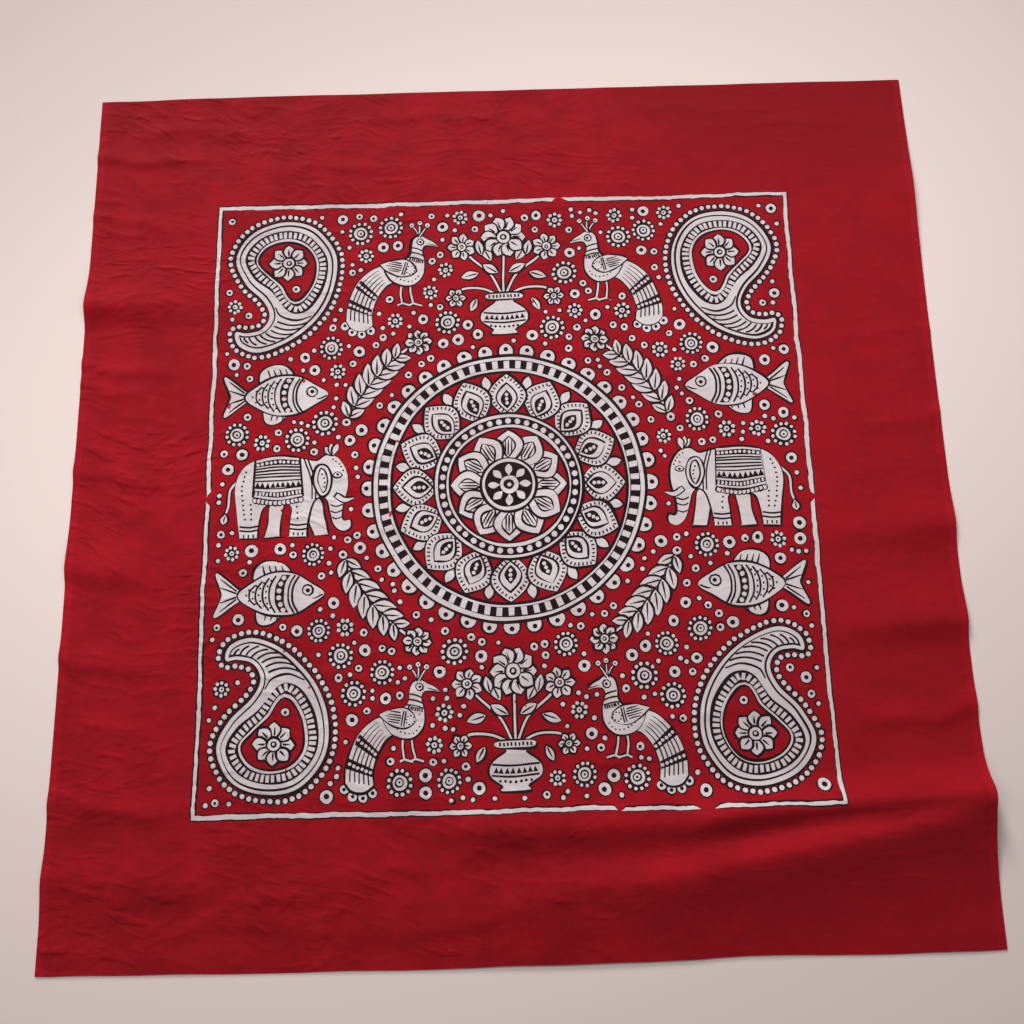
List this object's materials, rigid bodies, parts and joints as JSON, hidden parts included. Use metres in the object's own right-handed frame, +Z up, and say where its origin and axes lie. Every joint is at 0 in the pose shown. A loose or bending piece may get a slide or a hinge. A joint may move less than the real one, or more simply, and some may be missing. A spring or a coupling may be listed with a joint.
{
  "type": "painted cotton shrine cloth",
  "caption": "Hand-woven red cotton cloth laid flat with low uneven folds, its middle filled by a square panel painted in black and off-white inside a thin hand-drawn border.",
  "frame": {"origin": "under the middle of the sheet, on the surface it lies on", "axes": "+Z up off the surface, +X towards the right selvedge, +Y towards the far edge of the painting"},
  "size_m": [0.724, 0.736, 0.0148],
  "materials": {
    "dyed_cotton": "matte plain-woven cotton, dyed red round undyed off-white and iron-black painting"
  },
  "bodies": {
    "root": {"cloth": "dyed_cotton"}
  },
  "joints": []
}
